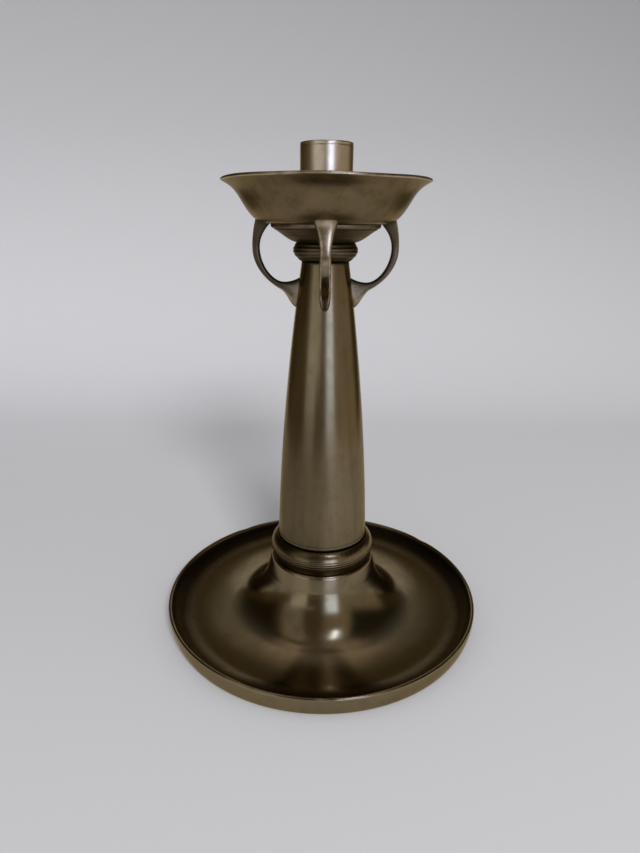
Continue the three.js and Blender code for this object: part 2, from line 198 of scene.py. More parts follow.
def mesh_piece(name, points, faces, numbers):
    """An object at the origin from vertices in millimetres, faces and named numbers on the vertices."""
    mesh = bpy.data.meshes.new(name)
    mesh.from_pydata((points * MM).tolist(), [], faces)
    for label, values in numbers.items():
        layer = mesh.attributes.new(label, "FLOAT", "POINT")
        layer.data.foreach_set("value", np.asarray(values, np.float32).ravel())
    mesh.polygons.foreach_set("use_smooth", np.ones(len(mesh.polygons), bool))
    mesh.set_sharp_from_angle(angle=math.radians(CREASE))
    mesh.update()
    piece = bpy.data.objects.new(name, mesh)
    bpy.context.scene.collection.objects.link(piece)
    return piece


print("3 by 4 points that close both ways have", len(grid_faces(3, 4, True, True)), "faces")

# %% Marks along an outline
# Bends, in radians per millimetre, at which wear and grime start and are full.
WEAR_FROM, WEAR_FULL = 0.22, 1.1
GRIME_FROM, GRIME_FULL = 0.12, 0.8
MARK_BLUR, SEAM_WIDTH = 0.45, 0.2
HIDDEN_GRIME = 0.3


def eased(values, start, full):
    """0 below start, 1 above full, and a straight ramp between them."""
    return np.clip((values - start) / (full - start), 0.0, 1.0)


def surface_marks(hidden, shown, seams):
    """Wear from ridges, grime from grooves, and a line of black tarnish at the height of each seam."""
    bend = blurred(bent(shown)[:, None], walked(shown)[1], MARK_BLUR)[:, 0]
    wear = np.r_[np.zeros(len(hidden)), eased(bend, WEAR_FROM, WEAR_FULL)]
    grime = np.r_[np.full(len(hidden), HIDDEN_GRIME), eased(-bend, GRIME_FROM, GRIME_FULL)]
    height = np.r_[hidden[:, 1], shown[:, 1]]
    black = np.zeros(len(wear))
    for seam in seams:
        black = np.maximum(black, hump(height, seam, SEAM_WIDTH))
    along = walked(np.vstack([hidden, shown]))
    return {"wear": wear * (1 - black), "grime": grime, "bloom": 0 * black, "tarnish": black,
            "along": along}


print("marks on each vertex:", sorted(surface_marks(sample_edge[:1], sample_edge, ())))

# %% Turned pieces
SEGMENTS = 192


def turned(name, shown, hidden=(), seams=(), shaped=None, stained=None, poles=()):
    """The grid (radius times cosine, radius times sine, height) over an outline and a full circle.

    The hidden stretch closes the shown one into a ring. Where the outline starts and ends on the axis,
    poles gives the two heights there, and a fan of triangles closes each. Shaped returns small changes of
    radius and height at each angle and outline point, and stained changes the marks along the outline."""
    hidden = np.array(hidden, float).reshape(-1, 2)
    outline = np.vstack([hidden, shown])
    marks = surface_marks(hidden, shown, seams)
    if stained:
        marks.update(stained(outline, marks))

    angle = np.linspace(0.0, 2 * np.pi, SEGMENTS, endpoint=False)[None, :]
    radius, height = outline[:, :1] + 0 * angle, outline[:, 1:] + 0 * angle
    if shaped:
        out, up = shaped(angle, radius, height)
        radius, height = radius + out, height + up
    points = np.stack([radius * np.cos(angle), radius * np.sin(angle), height], axis=-1).reshape(-1, 3)
    faces = grid_faces(len(outline), SEGMENTS, not poles, True)[:, ::-1].tolist()
    numbers = {label: np.repeat(values, SEGMENTS) for label, values in marks.items()}
    if poles:
        faces += pole_fans(SEGMENTS, len(points))
        points = np.vstack([points, [(0.0, 0.0, pole) for pole in poles]])
        numbers = {label: np.r_[values, values[0], values[-1]] for label, values in numbers.items()}
    piece = mesh_piece(name, points, faces, numbers)
    print(name, len(points), "vertices from", len(outline), "outline points")
    return piece


def waves(angle, parts):
    """A sum of sines round the circle, each with its count, its height and its start in radians."""
    return sum(height * np.sin(count * angle + start) for count, height, start in parts)


def foot_of(node):
    """Lowest height of a node of the frame, in millimetres."""
    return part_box(node)[0].z / MM


def top_of(node):
    """Highest height of a node of the frame, in millimetres."""
    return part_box(node)[1].z / MM


def radius_of(node):
    """How far a turned node of the frame reaches from the axis, in millimetres."""
    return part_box(node)[1].x / MM


print("the stem runs from", round(foot_of("stem"), 1), "to", round(top_of("stem"), 1), "mm")

# %% [markdown]
# ## Saucer and bell
# The base was cast in one piece and turned: a saucer with a rounded lip, and a bell whose flare runs out
# over the floor in a gentle skirt. A mirror shows every kink, so the inside is smoothed more than the
# edges. The lip of the real one is nicked and no longer quite level. It could be sculpted so, but a
# formula can be read and changed: the outline is moved a little with the angle, in a slow wave for the
# warp and in short dips where it was knocked.

# %% Outlines of saucer and bell
DISH_LIP = 1.9
DISH_FLOOR, DISH_FLOOR_RADIUS, DISH_FLOOR_WALL = 2.6, 70.0, 1.6
DISH_FOOT_RADIUS, DISH_FOOT_WIDTH = 85.6, 4.0
DISH_HEIGHT = 11.5
BELL_FLARE, SKIRT_SLOPE, SKIRT_EASE = 67.0, 11.0, 9.0
SKIRT_RADIUS, SKIRT_HEIGHT = 52.0, 4.2
WAIST_RADIUS, WAIST_HEIGHT, WAIST_EASE = 31.1, 27.2, 13.0
BELL_TOP, BELL_TOP_ROUND, BELL_WALL = 28.7, 1.5, 2.2
BOSS_RADIUS, BOSS_TUCK, ROD_HOLE = 18.7, 0.4, 3.3
FLOOR_BLUR, LIP_BLUR = 2.0, 0.22
dish_radius, boss_top = radius_of("base_dish"), top_of("base_dish")
bell_top = foot_of("lower_collar")


def saucer_outline():
    """Up the outer side, over the rounded lip and down the wall to the floor."""
    lip = DISH_LIP / 2
    lip_height = DISH_HEIGHT - lip
    wall_top = dish_radius - DISH_LIP
    side = bezier(16, (DISH_FOOT_RADIUS, 0), ((dish_radius + DISH_FOOT_RADIUS) / 2, 0),
                  (dish_radius, lip_height / 2), (dish_radius, lip_height))
    wall = bezier(24, (wall_top, lip_height), (wall_top, (lip_height + DISH_FLOOR) / 2),
                  ((wall_top + DISH_FLOOR_RADIUS) / 2, DISH_FLOOR), (DISH_FLOOR_RADIUS, DISH_FLOOR))
    return [side, arc(12, (dish_radius - lip, lip_height), lip, 0, 180)], wall


def bell_outline():
    """A gentle skirt on the floor, a flare that turns upright at the waist, and a rounded top edge."""
    waist, top = np.array((WAIST_RADIUS, WAIST_HEIGHT)), np.array((BELL_TOP, bell_top))
    cone = (top - waist) / np.linalg.norm(top - waist)
    slope = math.radians(SKIRT_SLOPE)
    skirt_top = np.array((SKIRT_RADIUS, SKIRT_HEIGHT))
    inward = np.array((-math.cos(slope), math.sin(slope)))
    level_run = (SKIRT_HEIGHT - DISH_FLOOR) / math.tan(slope)
    skirt = bezier(24, (BELL_FLARE, DISH_FLOOR), (SKIRT_RADIUS + level_run, DISH_FLOOR), skirt_top)
    flare = bezier(48, skirt_top, skirt_top + SKIRT_EASE * inward, waist - WAIST_EASE * cone, waist)
    edge = bezier(8, top - BELL_TOP_ROUND * cone, top, top - (BELL_TOP_ROUND, 0))
    return [skirt, flare], edge


def moved_in(line, distance):
    """Each point moved to the left of the line's direction there."""
    way = np.gradient(line, axis=0)
    way /= np.linalg.norm(way, axis=1)[:, None]
    return line + distance * np.stack([-way[:, 1], way[:, 0]], axis=1)


def base_hidden(bell):
    """Boss, rod hole, the hollow a wall inside every third point of the bell, and the foot ring."""
    inside = moved_in(np.vstack(bell), BELL_WALL)[::-3]
    ceiling, under = bell_top - BELL_WALL, DISH_FLOOR - DISH_FLOOR_WALL
    hollow = inside[(inside[:, 1] < ceiling) & (inside[:, 1] > under)]
    foot = DISH_FOOT_RADIUS - DISH_FOOT_WIDTH
    boss = [(BOSS_RADIUS, bell_top), (BOSS_RADIUS, boss_top), (ROD_HOLE, boss_top), (ROD_HOLE, ceiling),
            (hollow[0][0] - BELL_WALL / 2, ceiling)]
    return np.vstack([boss, hollow, [(BELL_FLARE, under), (foot - under, under), (foot, 0)]])


outside, wall = saucer_outline()
bell, bell_edge = bell_outline()
inside = polished([wall, *bell], width=FLOOR_BLUR)
base_line = polished([*outside, inside, bell_edge, [(BOSS_RADIUS + BOSS_TUCK, bell_top)]], width=LIP_BLUR)
print("base outline of", len(base_line), "points, up to", round(bell_top, 1), "mm")

# %% Wear of the base, and its mesh
# Knocks on the lip: where round the rim (degrees from +X), how wide in degrees, and how deep in mm.
KNOCKS = [(248, 2.2, 0.5), (253.5, 1.2, 0.35), (272, 0.9, 0.3), (205, 1.5, 0.3),
          (312, 1.3, 0.25), (40, 2.0, 0.4), (128, 1.6, 0.35)]
# Waves of the lip: how many round the rim, how high in mm, and their start in radians.
LIP_WAVES = (2, 0.18, 0.7), (5, 0.09, 0.0)
LIP_FADE = 4
LIP_RUB = 0.25
FLOOR_EDGE = 0.1
TARNISH_IN, TARNISH_OUT = (73.0, 81.0), (86.4, 87.2)
TARNISH_DEPTH = 0.92
BLOOM_MIDDLE, BLOOM_HALF, BLOOM_DEPTH = 52.5, 4.0, 0.25


def lip_wear(angle, radius, height):
    """A slow wave round the rim plus bell-shaped dips at the knocks, both fading out below the lip."""
    near_lip = eased(height, DISH_FLOOR, DISH_HEIGHT)
    near_lip = near_lip * eased(radius, DISH_FLOOR_RADIUS, dish_radius - DISH_LIP)
    turn = np.degrees(angle)
    dips = sum(depth * hump(turn, where, width) for where, width, depth in KNOCKS) * near_lip**LIP_FADE
    return -dips / 2, waves(angle, LIP_WAVES) * near_lip - dips


def saucer_stain(outline, marks):
    """A lightly rubbed lip, a near black band round the inner wall, and a dull bloom on the skirt."""
    radius, height = outline.T
    inside = eased(height, DISH_FLOOR - FLOOR_EDGE, DISH_FLOOR)
    wall = eased(radius, *TARNISH_IN) * (1 - eased(radius, *TARNISH_OUT))
    skirt = hump(radius, BLOOM_MIDDLE, BLOOM_HALF)
    return {"wear": np.where(radius > DISH_FLOOR_RADIUS, LIP_RUB, 1.0) * marks["wear"],
            "tarnish": TARNISH_DEPTH * inside * wall, "bloom": BLOOM_DEPTH * inside * skirt}


base_inside = base_hidden([*bell, bell_edge])
base = turned("base_dish_turned", base_line, base_inside, shaped=lip_wear, stained=saucer_stain)

# %% [markdown]
# ## Collars, stem and capital
# Above the bell the outline is a run of mouldings: a cushion with fine reeds in its lower half, the long
# swelling stem, a smaller cushion that is reeded all over, and an S-shaped capital under the pan. Reeds
# could be drawn one by one, but they are half-rounds side by side, so the absolute value of a sine or
# cosine gives a whole row of them, all alike. The stem is eased in to a dark joint at its foot, and a
# fine line is cut into it just above.

# %% Lower collar
LOWER_BORE, LOWER_NECK, LOWER_NECK_HEIGHT = 19.0, 26.6, 1.2
CUSHION_FOOT, CUSHION_TOP, CUSHION_PULL = 28.0, 25.0, 29.6
PULL_LOW, PULL_HIGH = 1 / 3, 5 / 6
REED_COUNT, REED_SPAN, REED_DEPTH = 5, (0.04, 0.62), 0.16
REED_MARKS = 0.35
SPIGOT_FIT = 0.3
TUCK = 1.0
STEM_FOOT_RADIUS, STEM_WALL = 24.8, 2.0
stem_foot, collar_top = foot_of("stem"), top_of("lower_collar")
collar_spigot = STEM_FOOT_RADIUS - STEM_WALL - SPIGOT_FIT


def lower_collar_outline():
    """A short neck, then one rounded cushion with a groove wherever the reeds' cosine comes to zero."""
    neck_top = bell_top + LOWER_NECK_HEIGHT
    height = stem_foot - neck_top
    cushion = bezier(240, (CUSHION_FOOT, neck_top), (CUSHION_PULL, neck_top + PULL_LOW * height),
                     (CUSHION_PULL, neck_top + PULL_HIGH * height), (CUSHION_TOP, stem_foot))
    up = eased((cushion[:, 1] - neck_top) / height, *REED_SPAN)
    cushion[:, 0] -= REED_DEPTH * (1 - np.abs(np.cos(np.pi * REED_COUNT * up))) ** 2
    return [[(LOWER_BORE + TUCK, bell_top), (LOWER_NECK, bell_top), (LOWER_NECK, neck_top)], cushion,
            [(collar_spigot, stem_foot)]]


lower_collar_line = polished(lower_collar_outline(), step=0.18, width=0.12)
lower_collar_hidden = [(collar_spigot, collar_top), (LOWER_BORE, collar_top), (LOWER_BORE, bell_top)]


def reed_marks(outline, marks):
    """Reeds this shallow take less rubbing than an edge does."""
    return {"wear": REED_MARKS * marks["wear"]}


lower_collar = turned("lower_collar_turned", lower_collar_line, lower_collar_hidden, seams=[stem_foot],
                      stained=reed_marks)

# %% Stem
STEM_TOP_RADIUS, STEM_SWELL = 11.7, 2.15
LINE_HEIGHT, LINE_DEPTH, LINE_WIDTH = 2.0, 0.06, 0.22
FOOT_NICK, FOOT_NICK_HEIGHT = 0.45, 0.4
STEM_ROWS, BORE_ROWS = 800, 12
TOP_SHADE = 1.5
stem_top = top_of("stem")
stem_length = stem_top - stem_foot


def stem_radius(height):
    """A straight taper from foot to top, plus a swell that is fullest half way up."""
    up = (height - stem_foot) / stem_length
    taper = (STEM_TOP_RADIUS - STEM_FOOT_RADIUS) * up
    return STEM_FOOT_RADIUS + taper + 4 * STEM_SWELL * up * (1 - up)


def stem_outline():
    """The side from foot to top, less a bell-shaped nick at the foot and one fine line just above it."""
    height = np.linspace(stem_foot, stem_top, STEM_ROWS)
    up = height - stem_foot
    cut = LINE_DEPTH * hump(up, LINE_HEIGHT, LINE_WIDTH)
    nick = FOOT_NICK * hump(up, 0.0, FOOT_NICK_HEIGHT)
    side = np.stack([stem_radius(height) - cut - nick, height], axis=1)
    return [[(STEM_FOOT_RADIUS - TUCK, stem_foot)], side, [(STEM_TOP_RADIUS - TUCK, stem_top)]]


bore_heights = np.linspace(stem_top, stem_foot, BORE_ROWS)
stem_bore = np.stack([stem_radius(bore_heights) - STEM_WALL, bore_heights], axis=1)
stem_line = polished(stem_outline(), width=0.16)


def dark_top(outline, marks):
    """The stem's top edge, under the collar, is black and has no rubbing."""
    low = 1 - eased(outline[:, 1], stem_top - TOP_SHADE, stem_top)
    return {"wear": marks["wear"] * low, "tarnish": np.maximum(marks["tarnish"], 1 - low)}


stem = turned("stem_turned", stem_line, stem_bore, seams=[stem_foot, stem_top], stained=dark_top)

# %% Upper collar
UPPER_BORE, UPPER_FOOT, UPPER_TOP, UPPER_BULGE = 7.0, 12.1, 14.4, 2.7
UPPER_REEDS, UPPER_REED_DEPTH, UPPER_REED_STEPS = 5, 0.32, 24
UPPER_TARNISH = 0.5
upper_foot, capital_foot = foot_of("upper_collar"), top_of("upper_collar")
upper_spigot = STEM_TOP_RADIUS - STEM_WALL - SPIGOT_FIT


def upper_collar_outline():
    """A cushion of one sine arch on a taper, grooved where the reeds' sine comes to zero."""
    up = np.linspace(0.0, 1.0, UPPER_REED_STEPS * UPPER_REEDS + 1)
    groove = UPPER_REED_DEPTH * (1 - np.abs(np.sin(np.pi * UPPER_REEDS * up)))
    radius = UPPER_FOOT + (UPPER_TOP - UPPER_FOOT) * up + UPPER_BULGE * np.sin(np.pi * up) - groove
    cushion = np.stack([radius, stem_top + (capital_foot - stem_top) * up], axis=1)
    return [[(upper_spigot + TUCK, stem_top)], cushion, [(UPPER_BORE + TUCK, capital_foot)]]


upper_collar_line = polished(upper_collar_outline(), step=0.18, width=0.12)
upper_collar_hidden = [(UPPER_BORE, capital_foot), (UPPER_BORE, upper_foot), (upper_spigot, upper_foot),
                       (upper_spigot, stem_top)]


def collar_tarnish(outline, marks):
    """An even tarnish, black in the grooves, and darker towards the foot."""
    low = 1 - eased(outline[:, 1], stem_top, (stem_top + capital_foot) / 2)
    black = np.maximum(low**2, marks["grime"])
    return {"grime": 0 * black, "tarnish": UPPER_TARNISH + (1 - UPPER_TARNISH) * black}


upper_collar = turned("upper_collar_turned", upper_collar_line, upper_collar_hidden,
                      seams=[stem_top, capital_foot], stained=collar_tarnish)

# %% Capital
CAPITAL_NECK, CYMA_RADIUS, CYMA_HEIGHT = 14.6, 25.0, 5.9
CYMA_SETS_OUT, CYMA_COMES_IN = (4.0, 0.9), (3.8, 2.0)
TOP_FILLET, TOP_FILLET_HEIGHT, TOP_FILLET_EDGE = 26.8, 2.2, 0.4
SOCKET_HOLE = 14.3
CAPITAL_TARNISH = 0.5
capital_spigot_foot, pan_bottom = foot_of("capital"), top_of("capital")
socket_foot = foot_of("nozzle_socket")
capital_spigot = UPPER_BORE - SPIGOT_FIT


def capital_outline():
    """One S-shaped curve from the neck outwards, a small half-round roll, and a rounded fillet."""
    neck = np.array((CAPITAL_NECK, capital_foot))
    edge = np.array((CYMA_RADIUS, capital_foot + CYMA_HEIGHT))
    fillet_foot = pan_bottom - TOP_FILLET_HEIGHT
    cyma = bezier(32, neck, neck + CYMA_SETS_OUT, edge - CYMA_COMES_IN, edge)
    roll = arc(12, (CYMA_RADIUS, (edge[1] + fillet_foot) / 2), (fillet_foot - edge[1]) / 2, -90, 90)
    corner = bezier(10, (CYMA_RADIUS, fillet_foot), (TOP_FILLET, fillet_foot),
                    (TOP_FILLET, pan_bottom - TOP_FILLET_EDGE))
    fillet = np.vstack([roll, corner, [(TOP_FILLET, pan_bottom)]])
    return [[(UPPER_BORE + TUCK, capital_foot)], cyma, fillet, [(SOCKET_HOLE + TUCK, pan_bottom)]]


capital_line = polished(capital_outline(), step=0.2, width=0.18)
capital_hidden = [(SOCKET_HOLE, pan_bottom), (SOCKET_HOLE, socket_foot), (ROD_HOLE, socket_foot),
                  (ROD_HOLE, capital_spigot_foot), (capital_spigot, capital_spigot_foot),
                  (capital_spigot, capital_foot)]


def capital_tarnish(outline, marks):
    """An even tarnish like the collar's, with black lines only at the seams."""
    return {"tarnish": np.maximum(marks["tarnish"], CAPITAL_TARNISH)}


capital = turned("capital_turned", capital_line, capital_hidden, seams=[capital_foot, pan_bottom],
                 stained=capital_tarnish)

# %% [markdown]
# ## Drip pan, socket and nozzle
# The pan is a shallow bowl whose side turns outward into a flared lip. A Solidify modifier could give it
# its thickness, but would leave a square edge, so the outline goes up the underside, round the edge and
# back a wall's thickness above. The thin sheet has been pushed about, so its rim waves a little. The
# nozzle is a plain tube of paler metal that drops into a flanged socket in the pan's floor, and a fine
# line runs round it just below its mouth.

# %% Drip pan
PAN_WALL, PAN_FLOOR_RADIUS = 1.5, 28.0
PAN_KNEE, PAN_KNEE_HEIGHT = 41.0, 11.1
PAN_LIP = 1.1
PAN_WAVES = (3, 0.16, 1.1), (7, 0.1, 0.0)
THIN_TUCK = 0.5
pan_radius, pan_rim = radius_of("drip_pan"), top_of("drip_pan")


def pan_underside():
    """Flat bottom, a bowl up to the knee, and a lip that flares out to the rim."""
    knee = np.array((PAN_KNEE, pan_bottom + PAN_KNEE_HEIGHT))
    edge = np.array((pan_radius, pan_rim - PAN_LIP))
    slope = (PAN_KNEE - PAN_FLOOR_RADIUS) / (2 * PAN_KNEE_HEIGHT)
    rise = (edge[1] - knee[1]) / 2
    ease = PAN_KNEE_HEIGHT / 2
    bowl = bezier(30, (PAN_FLOOR_RADIUS, pan_bottom), ((PAN_FLOOR_RADIUS + PAN_KNEE) / 2, pan_bottom),
                  knee - ease * np.array((slope, 1)), knee)
    lip = bezier(30, knee, knee + rise * np.array((slope, 1)),
                 ((PAN_KNEE + pan_radius) / 2, edge[1] - rise / 2), edge)
    return np.vstack([bowl, lip[1:]])


def pan_outline():
    """The underside, the rounded edge, and the inside a wall above it, without its last two points."""
    under = pan_underside()
    inside = moved_in(under, PAN_WALL)[:-2][::-1]
    hole = SOCKET_HOLE + THIN_TUCK
    return [[(hole, pan_bottom)], under, [(pan_radius - PAN_LIP / 2, pan_rim)], inside,
            [(hole, pan_bottom + PAN_WALL)]]


def pan_wave(angle, radius, height):
    """A slow wave of the rim that grows from nothing at the floor to its full size at the lip."""
    out = eased(radius, PAN_FLOOR_RADIUS, pan_radius) ** 2
    return 0 * angle, out * waves(angle, PAN_WAVES)


pan_line = polished(pan_outline())
pan_hidden = [(SOCKET_HOLE, pan_bottom + PAN_WALL), (SOCKET_HOLE, pan_bottom)]
drip_pan = turned("drip_pan_turned", pan_line, pan_hidden, seams=[pan_bottom], shaped=pan_wave)

# %% Socket and nozzle
SOCKET_WALL, SOCKET_FLANGE, SOCKET_FLANGE_THICKNESS = 1.25, 17.5, 1.2
CANDLE_BORE, NOZZLE_WALL, NOZZLE_FIT = 11.0, 1.5, 0.25
NOZZLE_FLOOR, NOZZLE_LIP, NOZZLE_ROWS = 1.2, 0.5, 160
RING_BELOW, RING_DEPTH, RING_WIDTH = 1.3, 0.12, 0.2
nozzle_foot, nozzle_top = foot_of("candle_nozzle"), top_of("candle_nozzle")
nozzle_radius = CANDLE_BORE + NOZZLE_WALL
pan_floor = pan_bottom + PAN_WALL
mounts = {mount["name"]: mount for mount in frame["record"]["mounts"]}
candle_seat = mounts["candle_seat"]["pos_m"][2] / MM
socket_bore = nozzle_radius + NOZZLE_FIT
socket_radius = socket_bore + SOCKET_WALL
socket_floor = socket_foot + SOCKET_WALL
flange_top = pan_floor + SOCKET_FLANGE_THICKNESS


def socket_outline():
    """Out along the flange's underside, over its sloping edge, and in to the bore."""
    return [[(socket_radius + TUCK, pan_floor), (SOCKET_FLANGE, pan_floor),
             (SOCKET_FLANGE - SOCKET_FLANGE_THICKNESS / 2, flange_top), (socket_bore, flange_top),
             (socket_bore, pan_floor)]]


socket_line = polished(socket_outline(), step=0.2, width=0.15)
socket_hidden = [(socket_bore, socket_floor), (ROD_HOLE, socket_floor), (ROD_HOLE, socket_foot),
                 (socket_radius, socket_foot), (socket_radius, pan_floor)]
socket = turned("nozzle_socket_turned", socket_line, socket_hidden, seams=[pan_floor])


def nozzle_outline():
    """Up the outside with one fine line, over the rounded mouth, and down the bore to its floor."""
    lip_height = nozzle_top - NOZZLE_LIP
    height = np.linspace(nozzle_foot, lip_height, NOZZLE_ROWS)
    ring = RING_DEPTH * hump(height, nozzle_top - RING_BELOW, RING_WIDTH)
    outside = np.stack([nozzle_radius - ring, height], axis=1)
    return [[(CANDLE_BORE + THIN_TUCK, nozzle_foot)], outside,
            arc(8, (nozzle_radius - NOZZLE_LIP, lip_height), NOZZLE_LIP, 0, 90),
            arc(8, (CANDLE_BORE + NOZZLE_LIP, lip_height), NOZZLE_LIP, 90, 180),
            [(CANDLE_BORE, candle_seat), (CANDLE_BORE / 2, candle_seat)]]


seat_underside = candle_seat - NOZZLE_FLOOR
nozzle_line = polished(nozzle_outline(), step=0.25, width=0.15)
nozzle_hidden = [(CANDLE_BORE / 2, seat_underside), (CANDLE_BORE, seat_underside),
                 (CANDLE_BORE, nozzle_foot)]
nozzle = turned("candle_nozzle_turned", nozzle_line, nozzle_hidden, poles=(seat_underside, candle_seat))

# %% [markdown]
# ## Loop handles
# Each handle is a cast strap: wide where it is soldered under the pan, even round the loop, and
# round-ended where it lies against the stem. A bevelled curve could make it, but its width and its
# thickness change apart, so two edge curves in the handle's own plane carry a section between them. The
# section is a superellipse, a curve between an ellipse and a rectangle, whose power falls from a squarish
# strap to a round foot. Both ends run a little into their neighbours, as solder does. Hands have rubbed
# the outer face and the foot, and the inner face is painted black as painted shade.

# %% Edges of a handle towards +X
HANDLE_REACH, HANDLE_THICKNESS = 35.9, 3.5
ROOT_OUTER, ROOT_INNER = 34.0, 26.4
REACH_DROP, LOOP_DROP, TURN_RADIUS = 11.3, 27.6, 20.6
HEEL_RADIUS, HEEL_DROP, HEEL_SLOPE = 22.5, 31.0, 29.0
FOOT_TOP_DROP, TOE_DROP, TOE = 24.3, 40.5, 2.4
BITE, OUTER_BITE, INNER_BITE = 1.6, 2.0, 0.8
STRETCH_STEPS = 40
reach_height = pan_bottom - REACH_DROP
root_middle = (pan_bottom + BITE + reach_height) / 2


def on_stem(drop):
    """A point a little inside the stem's side, at a drop below the pan's bottom."""
    return np.array((stem_radius(pan_bottom - drop) - BITE, pan_bottom - drop))


def joined(*curves):
    """Curves of even steps one after another, from the control points of each."""
    stretches = [bezier(STRETCH_STEPS, *points) for points in curves]
    return np.vstack([stretches[0], *(stretch[1:] for stretch in stretches[1:])])


def outer_edge():
    """Root, loop and foot of the outer edge: out to the reach, round to the heel, in to the toe."""
    reach = (HANDLE_REACH, reach_height)
    slope = np.array((math.cos(math.radians(HEEL_SLOPE)), math.sin(math.radians(HEEL_SLOPE))))
    heel = np.array((HEEL_RADIUS, pan_bottom - HEEL_DROP))
    toe = on_stem(TOE_DROP)
    return joined(
        ((ROOT_OUTER, pan_bottom + OUTER_BITE), (HANDLE_REACH, root_middle), reach),
        (reach, (HANDLE_REACH, (reach_height + heel[1]) / 2),
         heel + slope * (HANDLE_REACH - HEEL_RADIUS) / 2, heel),
        (heel, heel - slope * (HEEL_RADIUS - toe[0]) / 2, toe + (BITE + TOE, 0), toe))


def inner_edge():
    """Root, loop and foot of the inner edge: down inside the reach, then round and level to the stem."""
    inner_reach = HANDLE_REACH - HANDLE_THICKNESS
    reach = (inner_reach, reach_height)
    lowest = np.array((TURN_RADIUS, pan_bottom - LOOP_DROP))
    foot_top = on_stem(FOOT_TOP_DROP)
    return joined(
        ((ROOT_INNER, pan_bottom + INNER_BITE), (inner_reach, root_middle), reach),
        (reach, (inner_reach, (reach_height + lowest[1]) / 2),
         ((inner_reach + TURN_RADIUS) / 2, lowest[1]), lowest),
        (lowest, ((TURN_RADIUS + foot_top[0]) / 2, lowest[1]), foot_top))


outer, inner = outer_edge(), inner_edge()
print("handle edges of", len(outer), "and", len(inner), "points")

# %% Sections and marks of a handle
HANDLE_WIDTH, ROOT_WIDTH, ROOT_TAPER, FOOT_WIDTH = 5.2, 11.2, 1.6, 5.4
STRAP_POWER, FOOT_POWER = 3.4, 2.2
FACE_RUB, FACE_RUB_END, FOOT_RUB, FLANK_TARNISH = 1.0, 1.5, 0.6, 0.45
CORNER_POWER, SOLDER_POWER = 6, 6
AROUND_STEPS = 48
# Along the strap, stretch runs from 0 to 3 over root, loop and foot. Around it, the outer face is at
# angle 0 and the inner face half a turn on.
stretch = (np.arange(len(outer)) / STRETCH_STEPS)[:, None]
around = np.linspace(0.0, 2 * np.pi, AROUND_STEPS, endpoint=False)[None, :]
root, foot = np.clip(1 - stretch, 0, 1), np.clip(stretch - 2, 0, 1)


def handle_grid():
    """Sections between the edges: the sign of cosine times its size to 2/power, and the same of sine."""
    width = HANDLE_WIDTH + (ROOT_WIDTH - HANDLE_WIDTH) * root**ROOT_TAPER
    width = width + (FOOT_WIDTH - HANDLE_WIDTH) * foot
    power = STRAP_POWER + (FOOT_POWER - STRAP_POWER) * foot
    along = np.sign(np.cos(around)) * np.abs(np.cos(around)) ** (2 / power)
    aside = np.sign(np.sin(around)) * np.abs(np.sin(around)) ** (2 / power)
    middle, half = (outer + inner) / 2, (outer - inner) / 2
    radius = middle[:, :1] + half[:, :1] * along
    height = middle[:, 1:] + half[:, 1:] * along
    return np.stack([radius, aside * width / 2, height], axis=-1)


def handle_marks():
    """Wear on corners, outer face and foot, grime in the solder, tarnish on flanks, painted shade on the
    inner face.
    """
    # The inner face, facing the stem, is painted black as painted shade.
    facing_out, facing_in = np.clip(np.cos(around), 0, 1) ** 2, np.clip(-np.cos(around), 0, 1) ** 2
    flank = np.abs(np.sin(around))
    corner = np.abs(np.sin(2 * around)) ** CORNER_POWER * (1 - foot)
    face = FACE_RUB * facing_out * np.clip(FACE_RUB_END - stretch, 0, 1)
    return {"wear": np.maximum(np.maximum(corner, face), FOOT_RUB * foot * flank),
            "grime": np.maximum(root, foot) ** SOLDER_POWER + 0 * around,
            "tarnish": FLANK_TARNISH * flank * (1 - foot) + facing_in * (stretch > 0)}


strap, strap_marks = handle_grid(), handle_marks()
print("handle grid of", strap.shape[0], "by", strap.shape[1], "points")

# %% Four handles
HANDLE_TURNS = {"handle_right": 0, "handle_back": 1, "handle_left": 2, "handle_front": 3}


def handle(node, quarter):
    """The handle's grid turned by quarters about the axis, with one many-sided face over each end."""
    cos, sin = round(math.cos(quarter * math.pi / 2)), round(math.sin(quarter * math.pi / 2))
    x, y, z = np.moveaxis(strap, -1, 0)
    points = np.stack([cos * x - sin * y, sin * x + cos * y, z], axis=-1).reshape(-1, 3)
    rows = len(x)
    faces = grid_faces(rows, AROUND_STEPS, False, True).tolist()
    last = (rows - 1) * AROUND_STEPS
    caps = [list(range(AROUND_STEPS))[::-1], list(range(last, last + AROUND_STEPS))]
    return mesh_piece(node + "_cast", points, faces + caps, {**strap_marks, "along": z})


handles = {node: handle(node, quarter) for node, quarter in HANDLE_TURNS.items()}
print("handles", [len(piece.data.polygons) for piece in handles.values()])

# %% [markdown]
# ## Finishes as formulas
# A finish is a small program of shader nodes. Written node by node it is hard to read, so one class wraps
# a node's output and lets Python's own signs add the Math nodes, and one method makes any other node.

